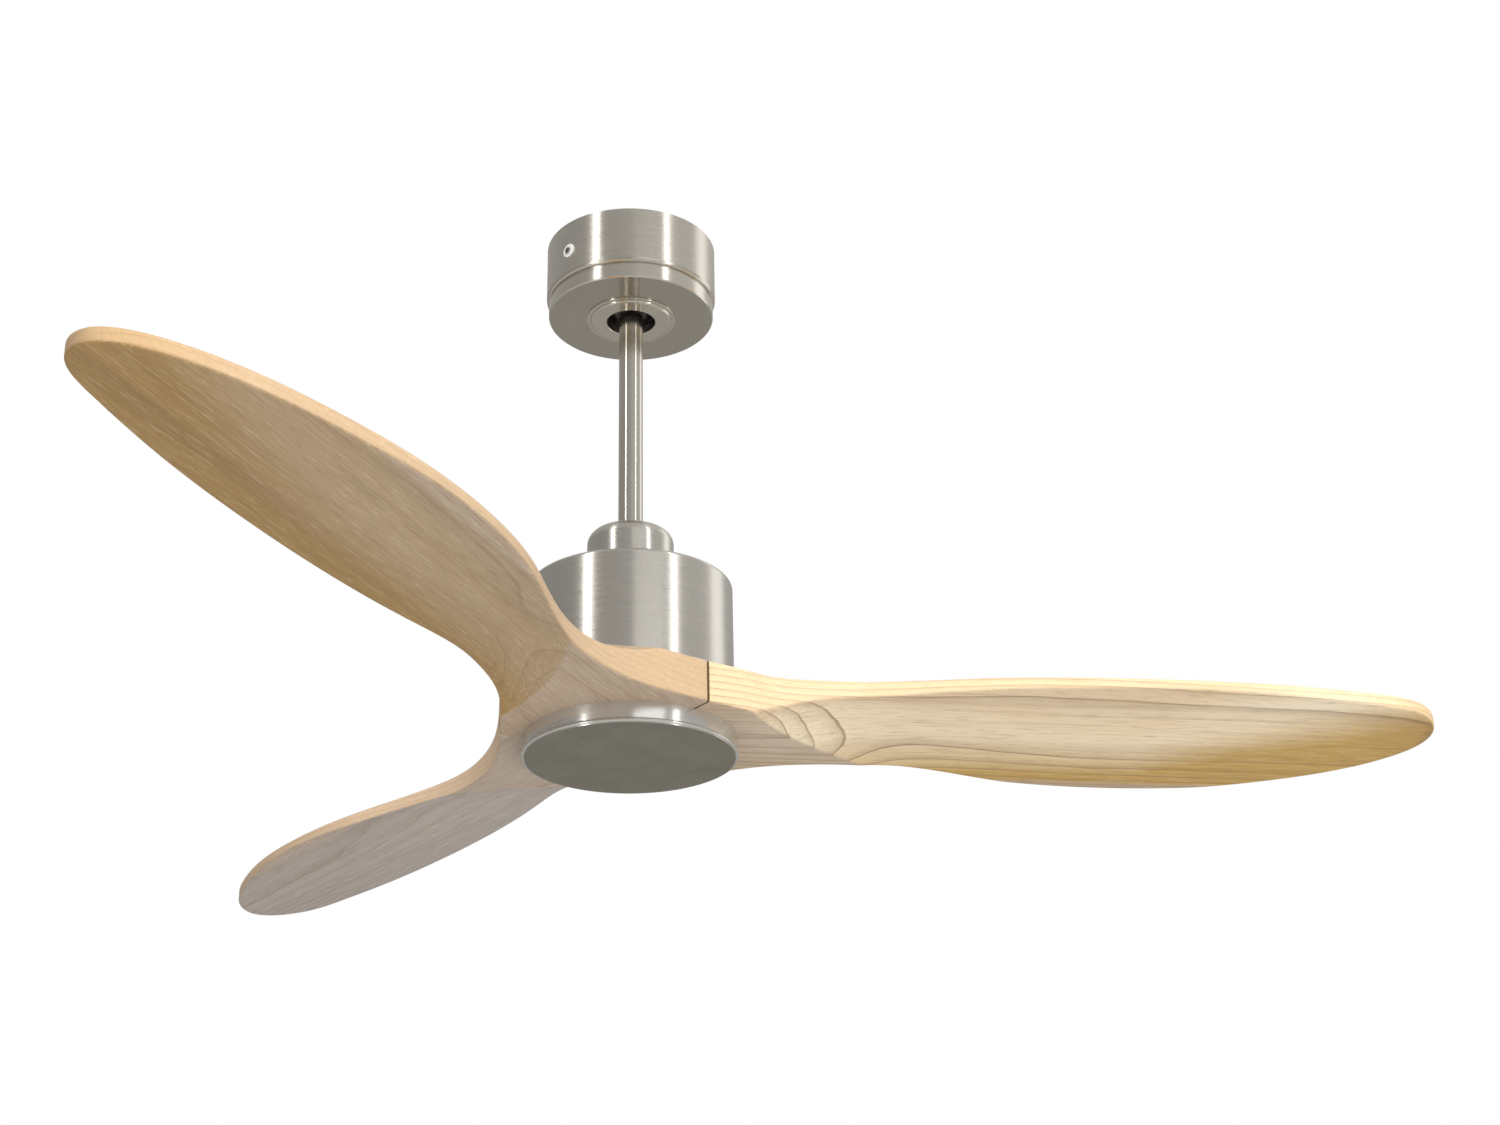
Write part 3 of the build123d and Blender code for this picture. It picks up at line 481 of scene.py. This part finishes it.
def inward_ways(outline):
    """The inward direction at each point, long enough to keep an inset parallel."""
    after = np.roll(outline, -1, axis=0) - outline
    after /= np.hypot(*after.T)[:, None]
    before = np.roll(after, 1, axis=0)
    sides = [np.stack([-way[:, 1], way[:, 0]], axis=1) for way in (before, after)]
    middle = sides[0] + sides[1]
    return middle / np.maximum(0.6, (middle * sides[1]).sum(axis=1))[:, None]


def with_crease_stations(outline, rounds, mirror):
    """Adds the two outline points whose rounded edge starts exactly where the crease meets it."""
    inner = outline + inward_ways(outline) * rounds[:, None]
    past = inner[:, 0] - crease_x(mirror * inner[:, 1])
    following = np.roll(past, -1)
    for i in reversed(np.flatnonzero((past * following < 0) & (inner[:, 0] > 60))):
        share = past[i] / (past[i] - following[i])
        j = (i + 1) % len(outline)
        outline = np.insert(outline, i + 1, outline[i] + share * (outline[j] - outline[i]), axis=0)
        rounds = np.insert(rounds, i + 1, rounds[i])
    return outline, rounds


def inside(points, loop):
    """Which points lie inside a closed loop."""
    x, y = points.T
    found = np.zeros(len(points), bool)
    for (x1, y1), (x2, y2) in zip(loop, np.roll(loop, -1, axis=0)):
        if y1 != y2:
            found ^= ((y1 > y) != (y2 > y)) & (x < (x2 - x1) * (y - y1) / (y2 - y1) + x1)
    return found


def distance_to(points, loop):
    """How far each point is from a closed loop."""
    nearest = np.full(len(points), np.inf)
    for start, end in zip(loop, np.roll(loop, -1, axis=0)):
        way = end - start
        share = np.clip(((points - start) @ way) / (way @ way), 0, 1)
        nearest = np.minimum(nearest, np.hypot(*(points - start - share[:, None] * way).T))
    return nearest


def face_plan(loop, mirror):
    """Triangles that fill one face of the blade, with the crease as a run of edges."""
    past = loop[:, 0] - crease_x(mirror * loop[:, 1])
    ends = np.flatnonzero((np.abs(past) < 0.02) & (loop[:, 0] > 60))
    ends = ends[np.argsort(mirror * loop[ends, 1])]
    low, high = (mirror * loop[end, 1] for end in ends)
    levels = np.linspace(low, high, round((high - low) / STATION))[1:-1]
    crease = np.stack([crease_x(levels), mirror * levels], axis=1)

    columns = np.arange(0, 664, GRID)
    rows = np.arange(-92, 92, GRID * math.sqrt(3) / 2)
    grid = np.stack(np.meshgrid(columns, rows), axis=-1)
    grid[1::2, :, 0] += GRID / 2
    grid = grid.reshape(-1, 2)
    slant = 0.7
    off_crease = np.abs(grid[:, 0] - crease_x(mirror * grid[:, 1])) * slant > GRID * GRID_CLEAR
    grid = grid[off_crease & inside(grid, loop)]
    grid = grid[distance_to(grid, loop) > GRID * GRID_CLEAR]

    points = np.concatenate([loop, crease, grid])
    ring = [(i, (i + 1) % len(loop)) for i in range(len(loop))]
    line = [ends[0], *range(len(loop), len(loop) + len(crease)), ends[1]]
    fold = list(zip(line[:-1], line[1:]))
    made = delaunay_2d_cdt([Vector(p) for p in points], ring + fold, [], 1, 1e-6)
    source = [origins[0] for origins in made[3]]
    triangles = [tuple(source[v] for v in triangle) for triangle in made[2]]
    return points, triangles, set(map(frozenset, fold))


def add_band(shape, first, second, way):
    """Joins two rings of vertices with faces. A way of -1 turns the faces over."""
    for i in range(len(first)):
        j = (i + 1) % len(first)
        corners = (first[i], second[i], second[j], first[j])
        shape.faces.new(corners[::way])


def add_face(shape, outline, rounds, mirror, low, high):
    """Adds one carved face with its rounded edge, and returns the ring where the edge's wall starts.
    Mirror is 1 for the underside, and -1 for the top, which is the underside turned over."""
    ways = inward_ways(outline)
    board = (high - low) / MM

    def vertex(point, depth):
        height = carve(point[0], mirror * point[1], board) + depth
        level = low + height * MM if mirror > 0 else high - height * MM
        return shape.verts.new((point[0] * MM, point[1] * MM, level))

    rings = []
    for turn in np.linspace(0, math.pi / 2, ROUND_STEPS + 1):
        loop = outline + ways * (rounds * (1 - math.cos(turn)))[:, None]
        depths = rounds * (1 - math.sin(turn))
        rings.append([vertex(point, depth) for point, depth in zip(loop, depths)])
    for outer, inner in zip(rings[:-1], rings[1:]):
        add_band(shape, outer, inner, mirror)
    points, triangles, fold = face_plan(loop, mirror)
    vertices = rings[-1] + [vertex(point, 0.0) for point in points[len(loop):]]
    for triangle in triangles:
        corners = [vertices[i] for i in triangle]
        shape.faces.new(corners[::-mirror])
    for pair in fold:
        edge = shape.edges.get([vertices[i] for i in pair])
        if edge:
            edge.smooth = False
    return rings[0]


def blade_mesh(name, low, high):
    """A blade in its own frame, with x along it: rounded edges, carved faces and sharp creases."""
    outline, rounds = blade_outline()
    for mirror in (1, -1):
        outline, rounds = with_crease_stations(outline, rounds, mirror)
    shape = bmesh.new()
    bottom = add_face(shape, outline, rounds, 1, low, high)
    top = add_face(shape, outline, rounds, -1, low, high)
    bands = [bottom]
    for step in range(1, WALL_BANDS):
        bands.append([shape.verts.new(a.co.lerp(b.co, step / WALL_BANDS)) for a, b in zip(bottom, top)])
    bands.append(top)
    for lower, upper in zip(bands[:-1], bands[1:]):
        add_band(shape, lower, upper, -1)
    for face in shape.faces:
        face.smooth = True
    mesh = bpy.data.meshes.new(name)
    shape.to_mesh(mesh)
    shape.free()
    return mesh


def add_blades():
    """The three blades, each standing for its CAD node, with a board of its own."""
    low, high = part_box("blade_1")
    middle = (low.z + high.z) / 2
    for index, (node, board) in enumerate(BOARDS.items()):
        turn = index * BLADE_TURN
        mesh = blade_mesh(f"carved_{node}", low.z, high.z)
        mesh.transform(Matrix.Rotation(turn, 4, "Z"))
        mesh.materials.append(wood(f"wood_{node}", turn, middle, board))
        blade = bpy.data.objects.new(f"carved_{node}", mesh)
        bpy.context.scene.collection.objects.link(blade)
        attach(blade, "rotor")
        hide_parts(node)


# ---- bottom cap: a matt face in a rolled lip, under a bright wall that tapers a little ----

NICKEL = (0.72, 0.68, 0.61)
MOTOR_NICKEL = (0.74, 0.71, 0.65)
CAP_WALL_TINT = (0.68, 0.67, 0.64)
CAP_FACE = (0.40, 0.38, 0.32)

# Each point is how far in from the cap's radius, and how far above its face, in millimetres.
CAP_FACE_EDGE = [(2.3, 0.0), (2.0, 0.9), (1.2, 0.9)]
CAP_LIP_MIDDLE = (1.2, 1.75)
CAP_LIP_ROUND = 1.2
CAP_LIP_STEPS = 11
CAP_WALL = [(2.2, 2.9), (2.2, 3.5), (1.8, 3.7), (0.8, 16.0), (2.6, 16.0), (3.4, 1.5)]
CAP_STEPS = 240
CAP_SHARP = math.radians(28)


def turned_mesh(name, profile, steps):
    """A closed solid turned round the fan's axis. Its first face closes the start of the profile."""
    turns = np.linspace(0, 2 * math.pi, steps, endpoint=False)
    vertices = [(r * math.cos(turn), r * math.sin(turn), z) for r, z in profile for turn in turns]
    last = len(vertices) - steps
    faces = [list(range(steps))[::-1]]
    for start in range(0, last, steps):
        for i in range(steps):
            j = (i + 1) % steps
            faces.append([start + i, start + j, start + steps + j, start + steps + i])
    faces.append(list(range(last, last + steps)))
    mesh = bpy.data.meshes.new(name)
    mesh.from_pydata(vertices, [], faces)
    for face in mesh.polygons:
        face.use_smooth = len(face.vertices) == 4
    return mesh


def add_cap():
    """The bottom cap, turned from its profile, with its face in a slot of its own."""
    low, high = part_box("bottom_cap")
    middle, rise = CAP_LIP_MIDDLE
    turns = np.linspace(-math.pi / 2, math.pi / 2, CAP_LIP_STEPS)
    lip = [(middle - CAP_LIP_ROUND * math.cos(t), rise + CAP_LIP_ROUND * math.sin(t)) for t in turns]
    outline = CAP_FACE_EDGE + lip + CAP_WALL
    profile = [(high.x - inset * MM, low.z + level * MM) for inset, level in outline]
    mesh = turned_mesh("turned_cap", profile, CAP_STEPS)
    mesh.set_sharp_from_angle(angle=CAP_SHARP)
    mesh.materials.append(
        brushed_nickel("nickel_cap", CAP_WALL_TINT, 0.2, anisotropy=0.5, metallic=0.78)
    )
    mesh.materials.append(blasted_face("cap_face", CAP_FACE))
    mesh.polygons[0].material_index = 1
    cap = bpy.data.objects.new("turned_cap", mesh)
    bpy.context.scene.collection.objects.link(cap)
    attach(cap, "rotor")
    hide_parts("bottom_cap")


# ---- finishes of the other pieces ----


def finish_nodes():
    """Gives every CAD node its material."""
    nickel = brushed_nickel("brushed_nickel", NICKEL, 0.28)
    motor_nickel = brushed_nickel("nickel_motor", MOTOR_NICKEL, 0.28)
    finishes = {
        "motor_housing": motor_nickel,
        "coupling_cover": motor_nickel,
        "downrod": brushed_nickel("nickel_rod", NICKEL, 0.16),
        # The canopy cover and trim ring take painted shade on their faces that look down.
        "canopy_cover": brushed_nickel("nickel_cover", NICKEL, 0.22, down_shade=0.62),
        "canopy_trim_ring": brushed_nickel("nickel_trim", NICKEL, 0.2, down_shade=0.8),
    }
    plain = {
        "plain_steel": cast_metal("plated_steel", (0.52, 0.52, 0.52), 0.42),
        "screw_steel": cast_metal("screw_steel", (0.42, 0.42, 0.41), 0.3, 1800.0),
        "black_plastic": moulded("black_plastic", (0.018, 0.018, 0.019), 0.42),
        "white_nylon": moulded("white_nylon", (0.80, 0.79, 0.76), 0.45),
        "circuit_board": circuit_board("circuit_board"),
        "wire_sleeve": moulded("wire_sleeve", (0.10, 0.10, 0.11), 0.4),
        "lamination": laminations("lamination"),
        "magnet": cast_metal("magnet", (0.16, 0.16, 0.17), 0.5),
        "copper": copper_windings("copper"),
    }
    for node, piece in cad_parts.items():
        slots = [material.name for material in piece.data.materials]
        for index, slot in enumerate(slots):
            piece.data.materials[index] = finishes.get(node) or plain.get(slot.split(".")[0], nickel)


# ---- camera, lights and floor ----


CAMERA_LENS = 54.19
CAMERA_SENSOR = 36.0
CAMERA_PLACE = (-0.158, -1.6521, -1.0545)
CAMERA_YAW = -8.797
CAMERA_PITCH = 24.651
CAMERA_ROLL = -1.265


def add_camera():
    """A 54 mm view from below and in front."""
    data = bpy.data.cameras.new("camera")
    data.lens = CAMERA_LENS
    data.sensor_width = CAMERA_SENSOR
    camera = bpy.data.objects.new("camera", data)
    yaw = Matrix.Rotation(math.radians(CAMERA_YAW), 4, "Z")
    pitch = Matrix.Rotation(math.radians(CAMERA_PITCH), 4, "X")
    roll = Matrix.Rotation(math.radians(-CAMERA_ROLL), 4, "Y")
    level = Matrix.Rotation(math.pi / 2, 4, "X")
    camera.matrix_world = Matrix.Translation(CAMERA_PLACE) @ yaw @ pitch @ roll @ level
    bpy.context.scene.collection.objects.link(camera)
    bpy.context.scene.camera = camera


# Each light's name, azimuth, distance, height, width, length and power, and whether metal mirrors it.
LIGHTS = [
    ("left_strip", -53, 2.6, 0.1, 0.24, 4.6, 19, True),
    ("right_strip", 43, 2.6, 0.1, 0.17, 4.6, 12, True),
    ("side_panel", 106, 2.6, 0.1, 1.1, 4.6, 11, True),
    ("front_panel", 14, 2.6, 0.1, 1.5, 0.75, 4, True),
    ("key_softbox", 10, 2.4, 1.5, 1.8, 1.2, 80, False),
    ("low_fill", 16, 2.6, -1.9, 1.6, 1.0, 32, False),
]
HUB_DROP = 0.33

FILL_COLOUR = (1.0, 0.985, 0.955, 1.0)
FLOOR_HALF = 12.0
FLOOR_LEVEL = -4.4


def add_light(name, place, width, height, power, shown):
    """An area light that faces the fan. With shown off, it lights pieces but isn't mirrored in them."""
    data = bpy.data.lights.new(name, "AREA")
    data.shape = "RECTANGLE"
    data.size = width
    data.size_y = height
    data.energy = power
    light = bpy.data.objects.new(name, data)
    light.location = place
    aim = Vector((place.x, place.y, 0.0 if shown else place.z + HUB_DROP))
    light.rotation_euler = aim.to_track_quat("Z", "Y").to_euler()
    light.visible_glossy = shown
    bpy.context.scene.collection.objects.link(light)


def around(azimuth, distance, height):
    """A place round the fan. Azimuth 0 is the camera's side and 90 is to its right."""
    turn = math.radians(azimuth)
    return Vector((math.sin(turn) * distance, -math.cos(turn) * distance, height))


def add_lights():
    for name, azimuth, distance, height, width, length, power, shown in LIGHTS:
        add_light(name, around(azimuth, distance, height), width, length, power, shown)


def add_world():
    """A white surround that the camera sees, and a softer one that lights the fan, strongest from
    above and from the right."""
    world = bpy.data.worlds.new("studio")
    world.use_nodes = True
    tree = world.node_tree
    tree.nodes.clear()

    def node(kind, **inputs):
        made = tree.nodes.new("ShaderNode" + kind)
        for key, value in inputs.items():
            socket = made.inputs[key.replace("_", " ")]
            if isinstance(value, bpy.types.NodeSocket):
                tree.links.new(value, socket)
            else:
                socket.default_value = value
        return made

    ways = node("SeparateXYZ", Vector=node("TexCoord").outputs["Generated"])
    side = node("MapRange", Value=ways.outputs["X"], From_Min=-1.0, From_Max=1.0, To_Min=0.25, To_Max=0.45)
    lift = node("MapRange", Value=ways.outputs["Z"], From_Min=0.35, From_Max=0.6, To_Min=1.0, To_Max=1.5)
    strength = node("Math")
    strength.operation = "MULTIPLY"
    tree.links.new(side.outputs["Result"], strength.inputs[0])
    tree.links.new(lift.outputs["Result"], strength.inputs[1])
    fill = node("Background", Color=FILL_COLOUR, Strength=strength.outputs[0])
    seen = node("Background", Color=(1.0, 1.0, 1.0, 1.0), Strength=1.0)
    choose = node("MixShader", Fac=node("LightPath").outputs["Is Camera Ray"])
    tree.links.new(fill.outputs[0], choose.inputs[1])
    tree.links.new(seen.outputs[0], choose.inputs[2])
    node("OutputWorld", Surface=choose.outputs[0])
    bpy.context.scene.world = world
    bpy.context.scene.view_settings.view_transform = "Standard"


def add_floor():
    """A pale floor far below, clear of a view from under the fan."""
    mesh = bpy.data.meshes.new("floor")
    ways = ((-1, -1), (1, -1), (1, 1), (-1, 1))
    corners = [(x * FLOOR_HALF, y * FLOOR_HALF, FLOOR_LEVEL) for x, y in ways]
    mesh.from_pydata(corners, [], [(0, 1, 2, 3)])
    floor = bpy.data.objects.new("floor", mesh)
    surface = Surface("pale_floor", Specular_IOR_Level=0.2)
    cloud = surface.noise(surface.place(), 1.5, detail=4.0)
    tone = surface.mix(surface.span(cloud, 0.3, 0.7), (0.91, 0.90, 0.88), (0.94, 0.93, 0.91))
    mesh.materials.append(surface.paint(Base_Color=tone, Roughness=0.8))
    bpy.context.scene.collection.objects.link(floor)


add_camera()
add_world()
add_lights()
add_floor()
add_blades()
add_cap()
finish_nodes()
